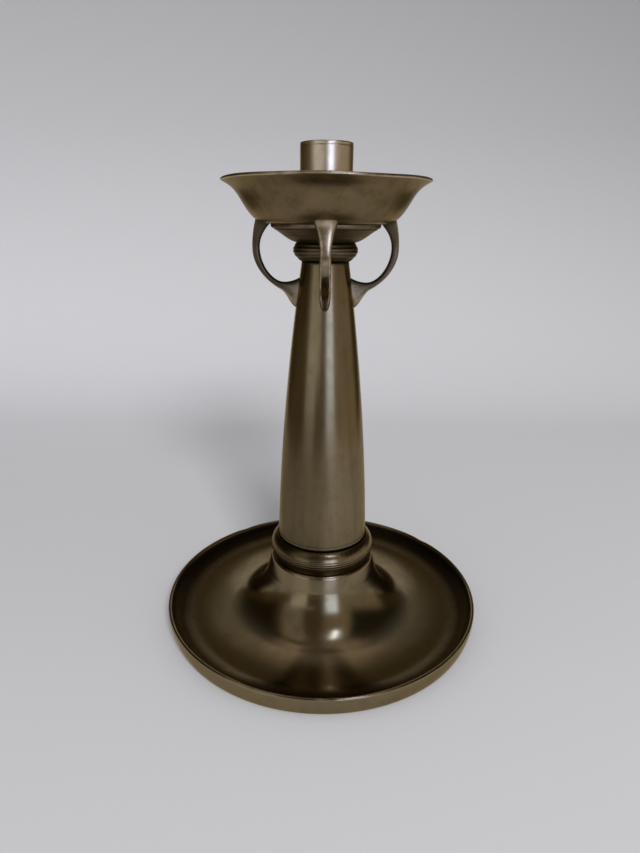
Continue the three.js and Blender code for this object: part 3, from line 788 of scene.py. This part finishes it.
# %% Signals
class Signal:
    """An output of a shader node, on which arithmetic adds Math nodes to the same material."""

    def __init__(self, finish, socket):
        self.finish = finish
        self.socket = socket

    def math(self, operation, first, second):
        """A Math node with two inputs, each a signal or a plain number."""
        return self.finish.node("ShaderNodeMath", {"operation": operation}, {0: first, 1: second})

    def __add__(self, other):
        return self.math("ADD", self, other)

    def __sub__(self, other):
        return self.math("SUBTRACT", self, other)

    def __rsub__(self, other):
        return self.math("SUBTRACT", other, self)

    def __mul__(self, other):
        return self.math("MULTIPLY", self, other)

    __radd__ = __add__
    __rmul__ = __mul__

    def between(self, low, high):
        """0 below low, 1 above high, with an eased rise between them."""
        return self.finish.node("ShaderNodeMapRange", {"interpolation_type": "SMOOTHSTEP"},
                                {"Value": self, "From Min": low, "From Max": high})

    def inside(self, low, high, edge):
        """1 between low and high, 0 outside them, with eased edges of a given half width."""
        return self.between(low - edge, low + edge) * (1 - self.between(high - edge, high + edge))


print("a signal has", [name for name in vars(Signal) if name[0] != "_"])

# %% Finishes
class Finish:
    """A material, its main shader, and the nodes that feed it."""

    def __init__(self, name):
        self.material = bpy.data.materials.new(name)
        self.material.use_nodes = True
        self.nodes = self.material.node_tree.nodes
        self.shader = self.nodes["Principled BSDF"]
        self.place = self.node("ShaderNodeTexCoord", out="Object")

    def node(self, kind, settings=None, inputs=None, out=0):
        """Any node: its settings first, then the value or link of each named or numbered input."""
        made = self.nodes.new(kind)
        for name, value in (settings or {}).items():
            setattr(made, name, value)
        self.feed(made, inputs or {})
        return Signal(self, made.outputs[out])

    def feed(self, made, inputs):
        """Links a signal to an input, or sets a plain value on it."""
        for name, value in inputs.items():
            if isinstance(value, Signal):
                self.material.node_tree.links.new(value.socket, made.inputs[name])
            else:
                made.inputs[name].default_value = value

    def axis(self, name):
        """One of the coordinates X, Y and Z of the shaded point, in metres."""
        return self.node("ShaderNodeSeparateXYZ", {}, {0: self.place}, out=name)

    def attribute(self, name):
        """A number that is kept on the mesh's vertices."""
        return self.node("ShaderNodeAttribute", {"attribute_name": name}, out="Fac")

    def noise(self, size_mm, detail=3.0, roughness=0.5, place=None):
        """Cloudy noise in space, whose blobs are about size_mm across."""
        inputs = {"Vector": place or self.place, "Scale": 1 / (size_mm * MM), "Detail": detail,
                  "Roughness": roughness}
        return self.node("ShaderNodeTexNoise", {}, inputs)

    def lathe_lines(self, size_mm):
        """Noise along the outline alone, so that it makes rings round a turned piece."""
        inputs = {"W": self.attribute("along"), "Scale": 1 / size_mm, "Detail": 3.0, "Roughness": 0.6}
        return self.node("ShaderNodeTexNoise", {"noise_dimensions": "1D"}, inputs)

    def mix(self, factor, first, second):
        """A colour between two colours."""
        return self.node("ShaderNodeMix", {"data_type": "RGBA"}, {0: factor, 6: first, 7: second}, out=2)


print("a finish has", [name for name in vars(Finish) if name[0] != "_"])

# %% [markdown]
# ## Old pewter
# Pewter this old is a warm brown metal that still mirrors its surroundings softly, and warmly at its
# edges. Clouds of olive and umber break up its colour, and make it a little more or less blurred.
# Ridges are rubbed paler, grooves hold dull dark grime, and the joints, the saucer's inner wall, the
# stem's top edge and the upper collar's foot are black; the handles' inner faces are painted black as
# painted shade. The stem has streaks, and painted shade darkens its left side low down; the upper collar
# and the capital have patchy bands, and fine rings left by the lathe follow the outline of each turned
# piece. Patterns worked out in space need no unwrapping and have no seams, so they suit turned pieces
# better than a painted image.

# %% Pewter finish
SOIL, BLOOM = (0.02, 0.011, 0.004, 1), (0.3, 0.24, 0.16, 1)
# The second colour darkens streaks and bands, and is also the colour of the stem's painted shade.
TARNISH_AND_SHADE, STAIN_AND_SHADE = (0.012, 0.007, 0.003, 1), (0.07, 0.048, 0.022, 1)
EDGE_TINT = (0.82, 0.71, 0.55, 1)
# Sizes of the patterns in millimetres, and the levels of their noise between which they come in.
CLOUD_MM, BLOTCH_MM, STREAK_MM, BAND_MM, RING_MM = 26, 6, 5, 2.4, 0.5
CLOUD_LEVELS, BLOTCH_LEVELS, STREAK_LEVELS = (0.4, 0.62), (0.45, 0.7), (0.42, 0.66)
BAND_LEVELS, BAND_PATCHES, RUB_LEVELS = (0.44, 0.6), (0.35, 0.55), (0.3, 0.6)
STREAK_SQUEEZE = (1, 1, 0.04)
# Where the stem's painted shade lies: left of an X and below a Z, in metres.
PAINTED_SHADE_ACROSS, PAINTED_SHADE_UP = (-6 * MM, 8 * MM), (95 * MM, 135 * MM)
EVEN_RUB, GRIME_COVER, NOISE_MEAN = 0.3, 0.9, 0.5
GRIME_DULLS, BLOOM_DULLS = 0.75, 0.6
BLOTCH_BLURS, CLOUD_BLURS, GRIME_BLURS, TARNISH_BLURS = 0.16, 0.06, 0.4, 0.3
BUMP_STRENGTH, BUMP_DEPTH = 0.5, 0.01 * MM


def pewter(name, colours, rough=0.24, lines=0.5, mottle=0.5, streak=0.0, bands=0.0, painted_shade=0.0):
    """Brown clouded with olive, blotched with umber, then streaked, banded, darkened by painted shade,
    rubbed and soiled.
    """
    brown, olive, umber, rubbed = colours
    finish = Finish(name)
    wear, grime = finish.attribute("wear"), finish.attribute("grime")
    bloom, tarnish = finish.attribute("bloom"), finish.attribute("tarnish")
    cloud = finish.noise(CLOUD_MM, detail=4)
    blotch = finish.noise(BLOTCH_MM, detail=5, roughness=0.6)
    rings = finish.lathe_lines(RING_MM)

    colour = finish.mix(cloud.between(*CLOUD_LEVELS), brown, olive)
    colour = finish.mix(mottle * blotch.between(*BLOTCH_LEVELS), colour, umber)
    if streak:
        drawn = finish.node("ShaderNodeMapping", {}, {"Vector": finish.place, "Scale": STREAK_SQUEEZE})
        runs = finish.noise(STREAK_MM, place=drawn).between(*STREAK_LEVELS)
        colour = finish.mix(streak * runs, colour, STAIN_AND_SHADE)
    if bands:
        ringed = finish.lathe_lines(BAND_MM).between(*BAND_LEVELS)
        colour = finish.mix(bands * ringed * cloud.between(*BAND_PATCHES), colour, STAIN_AND_SHADE)
    # Painted shade: the stem is darker on its left and low down, where it mirrors shade.
    if painted_shade:
        left = 1 - finish.axis("X").between(*PAINTED_SHADE_ACROSS)
        low = 1 - finish.axis("Z").between(*PAINTED_SHADE_UP)
        colour = finish.mix(painted_shade * left * low, colour, STAIN_AND_SHADE)
    patchy = EVEN_RUB + (1 - EVEN_RUB) * blotch.between(*RUB_LEVELS)
    colour = finish.mix(wear * patchy, colour, rubbed)
    colour = finish.mix(bloom, colour, BLOOM)
    # Black here is tarnish, and painted shade on the handles' inner faces.
    colour = finish.mix(tarnish, colour, TARNISH_AND_SHADE)
    colour = finish.mix(GRIME_COVER * grime, colour, SOIL)

    blur = rough + BLOTCH_BLURS * (blotch - NOISE_MEAN) + CLOUD_BLURS * (cloud - NOISE_MEAN)
    bump = finish.node("ShaderNodeBump", {}, {
        "Height": lines * rings + blotch, "Strength": BUMP_STRENGTH, "Distance": BUMP_DEPTH})
    finish.feed(finish.shader, {
        "Base Color": colour,
        "Metallic": 1 - GRIME_DULLS * grime - BLOOM_DULLS * bloom,
        "Roughness": blur + GRIME_BLURS * grime + TARNISH_BLURS * tarnish,
        "Specular Tint": EDGE_TINT,
        "Normal": bump})
    return finish.material


# %% Pewter of each piece
# Each finish has a brown, an olive, an umber and a rubbed colour.
UMBER, RUBBED = (0.18, 0.13, 0.07, 1), (0.64, 0.53, 0.36, 1)
STEM_COLOURS = (0.25, 0.192, 0.11, 1), (0.22, 0.178, 0.1, 1), UMBER, RUBBED
PAN_COLOURS = (0.2, 0.143, 0.074, 1), (0.175, 0.132, 0.064, 1), (0.12, 0.08, 0.038, 1), RUBBED
HANDLE_COLOURS = ((0.19, 0.15, 0.095, 1), (0.165, 0.132, 0.083, 1), (0.125, 0.097, 0.06, 1),
                  (0.84, 0.68, 0.46, 1))
NOZZLE_COLOURS = (0.69, 0.58, 0.41, 1), (0.63, 0.53, 0.37, 1), (0.5, 0.41, 0.28, 1), (0.85, 0.77, 0.6, 1)
# The stem's pewter carries painted shade on its left, low down.
stem_pewter = pewter("stem_pewter", STEM_COLOURS, mottle=0.4, streak=0.22, painted_shade=0.5)
dish_pewter = pewter("dish_pewter", STEM_COLOURS, rough=0.19)
collar_pewter = pewter("collar_pewter", STEM_COLOURS, rough=0.28, mottle=0.6, bands=0.8)
pan_pewter = pewter("pan_pewter", PAN_COLOURS, rough=0.33, mottle=0.65)
handle_pewter = pewter("handle_pewter", HANDLE_COLOURS, rough=0.2, lines=0.0)
nozzle_tin = pewter("nozzle_tin", NOZZLE_COLOURS, rough=0.31, lines=0.15, mottle=0.3)
print("pewter nodes on the stem:", len(stem_pewter.node_tree.nodes))

# %% [markdown]
# ## Plain steel
# The tie rod, its plate and nut are hidden inside, so they keep their shapes from the frame. Their steel
# is dull grey with a brown bloom of rust. One noise for the rust and a finer one for the grain are enough
# for pieces that seldom show.

# %% Steel finish
STEEL, RUST = (0.3, 0.295, 0.28, 1), (0.11, 0.055, 0.03, 1)
RUST_MM, RUST_LEVELS, GRAIN_MM = 3, (0.52, 0.7), 0.5
RUST_DULLS, RUST_BLURS, GRAIN_BLURS = 0.8, 0.35, 0.1
STEEL_ROUGH, STEEL_BUMP, STEEL_DEPTH = 0.42, 0.4, 0.1 * MM


def dull_steel(name):
    """Grey metal with rust where a blotchy noise is high."""
    finish = Finish(name)
    rust = finish.noise(RUST_MM, detail=6, roughness=0.65).between(*RUST_LEVELS)
    grain = finish.noise(GRAIN_MM, detail=2)
    bump = finish.node("ShaderNodeBump", {}, {
        "Height": grain + rust, "Strength": STEEL_BUMP, "Distance": STEEL_DEPTH})
    finish.feed(finish.shader, {
        "Base Color": finish.mix(rust, STEEL, RUST),
        "Metallic": 1 - RUST_DULLS * rust,
        "Roughness": STEEL_ROUGH + RUST_BLURS * rust + GRAIN_BLURS * grain,
        "Normal": bump})
    return finish.material


steel = dull_steel("dull_steel")
for node in ("tie_rod", "clamp_plate", "tie_rod_nut"):
    frame["nodes"][node].data.materials.clear()
    frame["nodes"][node].data.materials.append(steel)
print("steel on the rod, the plate and the nut")

# %% [markdown]
# ## Which piece stands for which node
# Each surface rides on a body of the frame and hides the plainer node that it stands for. Parenting each
# by hand would do, but a list shows at a glance that every node has its surface, and one loop treats
# them all alike.

# %% Ride, replace and finish
FITTED = [
    (base, "base_dish", dish_pewter),
    (lower_collar, "lower_collar", stem_pewter),
    (stem, "stem", stem_pewter),
    (upper_collar, "upper_collar", collar_pewter),
    (capital, "capital", collar_pewter),
    (drip_pan, "drip_pan", pan_pewter),
    (socket, "nozzle_socket", pan_pewter),
    (nozzle, "candle_nozzle", nozzle_tin),
    *((piece, node, handle_pewter) for node, piece in handles.items())]
for piece, node, finish in FITTED:
    piece.data.materials.append(finish)
    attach(piece, "nozzle" if node == "candle_nozzle" else "stand")
    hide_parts(node)
    "tin" if node == "candle_nozzle" else "pewter"
print("fitted", len(FITTED), "pieces")

# %% [markdown]
# ## Table and backdrop
# The candlestick stands on a pale sheet that curves up behind it into a wall. The sweep is one profile
# drawn out sideways: level, then a quarter circle, then upright, because a floor and a wall would meet in
# a hard line. Light and shade are painted into its paper: palest where it curves, and darker upwards and
# to the right, where the light falls off.

# %% Sweep
SWEEP_LEVEL, SWEEP_BEND, SWEEP_STEPS = 330.0, 360.0, 40
SWEEP_SIZE = {"front": -3000.0, "half": 3000.0, "top": 2200.0, "lift": 0.0}
# Paper tones: the floor's own, the painted light at the bend, and the painted shade upwards and to the
# right, which the fibres share.
PAPER_FLOOR, PAPER_PAINTED_LIGHT = (0.585, 0.58, 0.595, 1), (0.77, 0.765, 0.79, 1)
PAPER_SHADE_AND_FIBRE = (0.33, 0.328, 0.335, 1)
DARKER_UP, DARKER_RIGHT, DARKER_BASE = 1.2, 0.33, 0.22
WALL_FROM, WALL_FULL = 50 * MM, 600 * MM
FIBRE_MM, FIBRE_SHARE = 3, 0.04
PAPER_ROUGH, PAPER_GLOSS = 0.85, 0.15


def paper_painted_light():
    """Pale paper with painted light and shade mixed by place: lighter at the bend, darker upwards and to
    the right.
    """
    paper = Finish("paper_painted_light")
    right, back, high = (paper.axis(name) for name in "XYZ")
    # Painted light and shade on the paper: palest at the bend, darker upwards and to the right.
    wall = paper.mix(DARKER_UP * high + DARKER_RIGHT * right + DARKER_BASE, PAPER_PAINTED_LIGHT, PAPER_SHADE_AND_FIBRE)
    tone = paper.mix(back.between(WALL_FROM, WALL_FULL), PAPER_FLOOR, wall)
    paper.feed(paper.shader, {
        "Base Color": paper.mix(FIBRE_SHARE * paper.noise(FIBRE_MM), tone, PAPER_SHADE_AND_FIBRE),
        "Roughness": PAPER_ROUGH,
        "Specular IOR Level": PAPER_GLOSS})
    return paper.material


def sweep_piece(name, paper, front, half, top, lift):
    """A grid over the profile of level line, quarter circle and upright line, and the two sides."""
    bend = arc(SWEEP_STEPS, (SWEEP_LEVEL - lift, SWEEP_BEND), SWEEP_BEND - lift, -90, 0)
    profile = np.vstack([[(front, lift)], bend, [(bend[-1, 0], top)]])
    forward, aside = np.meshgrid(profile[:, 0], (-half, half), indexing="ij")
    up = np.broadcast_to(profile[:, 1:], forward.shape)
    faces = grid_faces(len(profile), 2, False, False)[:, ::-1].tolist()
    sweep = mesh_piece(name, np.stack([aside, forward, up], axis=-1).reshape(-1, 3), faces, {})
    sweep.data.materials.append(paper)
    return sweep


paper = paper_painted_light()
sweep = sweep_piece("sweep", paper, **SWEEP_SIZE)
print("sweep", len(sweep.data.polygons), "faces")

# %% [markdown]
# ## The room in the metal
# Polished metal shows what stands around it. On the stem the pale table gives way to a dim brown room at
# about half height, which puts the sheet's near edge some 44 cm in front. So mirror rays meet their own
# smaller sheet, and beyond it a dome painted with the room: dark behind, lighter overhead and on the
# right, with a window and a broad grey pane in front, a small high window, and a dark screen. A low dark
# card stands close in front for the bell. None of these lights or shades anything else. An image of a
# room could do the same, but these few panes are all that the metal needs.

# %% Colours and panes of the room
DOME_RADIUS, DOME_LEVEL = 2600.0, 120.0
ROOM_LEFT, ROOM_RIGHT = (0.15, 0.11, 0.065, 1), (0.42, 0.36, 0.29, 1)
ROOM_OVERHEAD, ROOM_BEHIND = (0.43, 0.37, 0.3, 1), (0.085, 0.068, 0.04, 1)
# Where the room's colours change over, as shares of the dome's radius to the right, back and up.
RIGHT_SIDE, BEHIND, OVERHEAD = (-0.5, 0.6), (0.25, 0.5), (0.65, 0.9)
DAYLIGHT, GREY_DAY = np.array((0.5, 0.6, 0.95)), np.array((0.82, 0.84, 0.9))
PALE_WALL, SHADE = np.array((0.9, 0.87, 0.8)), np.array((0.12, 0.1, 0.065))
# Panes: azimuth to the right of the camera, half width, lowest and highest elevation and softness, all in
# degrees, and their light. They are two dark sides, a pale wall, a grey pane, two windows and two lighter
# strips behind.
PANES = [(100, 48, 14, 64, 8, 0.25 * SHADE), (-110, 32, 6, 64, 8, 0.2 * SHADE),
         (-50, 18, 5, 70, 6, 0.4 * PALE_WALL),
         (-34, 22, -9, 12, 5, GREY_DAY),
         (19, 11, -9, 19, 3, 4.2 * DAYLIGHT), (28, 5, 49, 66, 2, 12.0 * DAYLIGHT),
         (-158, 5, 28, 46, 3, 0.3 * PALE_WALL), (158, 5, 28, 46, 3, 0.2 * PALE_WALL)]
# The dark screen in front, as shares of the dome's radius.
SCREEN_ACROSS, SCREEN_EDGE = (-0.42, 0.06), 0.04
SCREEN_FOOT, SCREEN_DEPTH = (0.18, 0.24), (-0.05, 0.05)
CARD_CLOUD_MM, CARD_DIM, CARD_LIT = 60, 0.7, 1.3


def glowing(finish, light):
    """Makes a finish a plain glow that is seen in mirrors but is not sampled as a lamp."""
    finish.feed(finish.shader, {
        "Base Color": (0, 0, 0, 1),
        "Specular IOR Level": 0,
        "Emission Color": light,
        "Emission Strength": 1.0})
    finish.material.cycles.emission_sampling = "NONE"
    return finish.material


def card_glow():
    """The dim card, clouded by a noise."""
    glow = Finish("card_glow")
    dim, lit = (*(CARD_DIM * SHADE), 1), (*(CARD_LIT * SHADE), 1)
    return glowing(glow, glow.mix(glow.noise(CARD_CLOUD_MM), dim, lit))


def dome_glow():
    """The room as a glow on the dome: a mix by direction, with the screen and soft-edged panes over it."""
    glow = Finish("room_glow")
    share = 1 / (DOME_RADIUS * MM)
    right, back = glow.axis("X") * share, glow.axis("Y") * share
    up = (glow.axis("Z") - DOME_LEVEL * MM) * share
    azimuth = math.degrees(1) * right.math("ARCTAN2", right, 0 - back)
    elevation = math.degrees(1) * up.math("ARCSINE", up, 0)
    room = glow.mix(right.between(*RIGHT_SIDE), ROOM_LEFT, ROOM_RIGHT)
    room = glow.mix(back.between(*BEHIND), room, ROOM_BEHIND)
    room = glow.mix(up.between(*OVERHEAD), room, ROOM_OVERHEAD)
    in_front = 1 - back.between(*SCREEN_DEPTH)
    screen = right.inside(*SCREEN_ACROSS, SCREEN_EDGE) * up.between(*SCREEN_FOOT) * in_front
    room = glow.mix(screen, room, (*SHADE, 1))
    for middle, half, low, high, edge, light in PANES:
        pane = azimuth.inside(middle - half, middle + half, edge) * elevation.inside(low, high, edge)
        room = glow.mix(pane, room, (*light, 1))
    return glowing(glow, room)


dome_paint, card_paint = dome_glow(), card_glow()
print("room of", len(PANES), "panes")

# %% Dome, card and near sheet
DOME_ROWS, DOME_COLUMNS = 24, 48
CARD_LEFT, CARD_RIGHT, CARD_FRONT, CARD_TOP = -205.0, 15.0, -430.0, 118.0
NEAR_SHEET_SIZE = {"front": -440.0, "half": 370.0, "top": 365.0, "lift": 0.3}


def mirror_only(thing):
    """Hides a thing from everything but mirror rays."""
    for ray in ("camera", "diffuse", "transmission", "volume_scatter", "shadow"):
        setattr(thing, "visible_" + ray, False)


def dome_piece():
    """A sphere of rows between two poles, its faces turned inwards."""
    tilt = np.linspace(-np.pi / 2, np.pi / 2, DOME_ROWS + 1)[1:-1, None]
    turn = np.linspace(0, 2 * np.pi, DOME_COLUMNS, endpoint=False)[None, :]
    x, y, z = np.cos(tilt) * np.cos(turn), np.cos(tilt) * np.sin(turn), np.sin(tilt) + 0 * turn
    points = DOME_RADIUS * np.stack([x, y, z], axis=-1).reshape(-1, 3)
    faces = grid_faces(DOME_ROWS - 1, DOME_COLUMNS, False, True)[:, ::-1].tolist()
    faces += pole_fans(DOME_COLUMNS, len(points))
    points = np.vstack([points, [(0, 0, -DOME_RADIUS), (0, 0, DOME_RADIUS)]]) + (0, 0, DOME_LEVEL)
    return mesh_piece("room_dome", points, faces, {})


def card_piece():
    """A low upright card close in front, whose dark side the bell mirrors."""
    corners = [(CARD_LEFT, CARD_FRONT, 0), (CARD_RIGHT, CARD_FRONT, 0),
               (CARD_RIGHT, CARD_FRONT, CARD_TOP), (CARD_LEFT, CARD_FRONT, CARD_TOP)]
    return mesh_piece("shade_card", np.array(corners), [(3, 2, 1, 0)], {})


sweep.visible_glossy = False
near_sheet = sweep_piece("near_sheet", paper, **NEAR_SHEET_SIZE)
mirror_only(near_sheet)
dome, card = dome_piece(), card_piece()
for thing, paint in ((dome, dome_paint), (card, card_paint)):
    thing.data.materials.append(paint)
    mirror_only(thing)
print("dome", len(dome.data.polygons), "faces, card", len(card.data.polygons), "face")

# %% [markdown]
# ## Light
# The soft shadow behind and to the left shows a broad window high on the right. The rest is the even
# light of a pale room, from all around. More lamps would add shadows that the photograph doesn't have.

# %% Lamp and world
KEY_AZIMUTH, KEY_ELEVATION, KEY_DISTANCE = math.radians(17), math.radians(36), 1.8
KEY_SIZE, KEY_RADIANCE = 0.5, 30.0
EVEN_LIGHT = (0.58, 0.58, 0.59, 1)
MIDDLE = Vector((0, 0, 0.12))

key_data = bpy.data.lights.new("key", "AREA")
key_data.size = KEY_SIZE
key_data.energy = KEY_RADIANCE * math.pi * KEY_SIZE**2
key = bpy.data.objects.new("key", key_data)
key_way = Vector((math.sin(KEY_AZIMUTH) * math.cos(KEY_ELEVATION),
                  -math.cos(KEY_AZIMUTH) * math.cos(KEY_ELEVATION), math.sin(KEY_ELEVATION)))
key.location = MIDDLE + KEY_DISTANCE * key_way
key.rotation_euler = (-key_way).to_track_quat("-Z", "Y").to_euler()
key.visible_glossy = False
key.visible_camera = False
bpy.context.scene.collection.objects.link(key)

world = bpy.data.worlds.new("room")
world.use_nodes = True
bpy.context.scene.world = world
background = world.node_tree.nodes["Background"]
background.inputs["Color"].default_value = EVEN_LIGHT

bpy.context.scene.view_settings.view_transform = "Standard"
print("key lamp at", [round(v, 2) for v in key.location])

# %% [markdown]
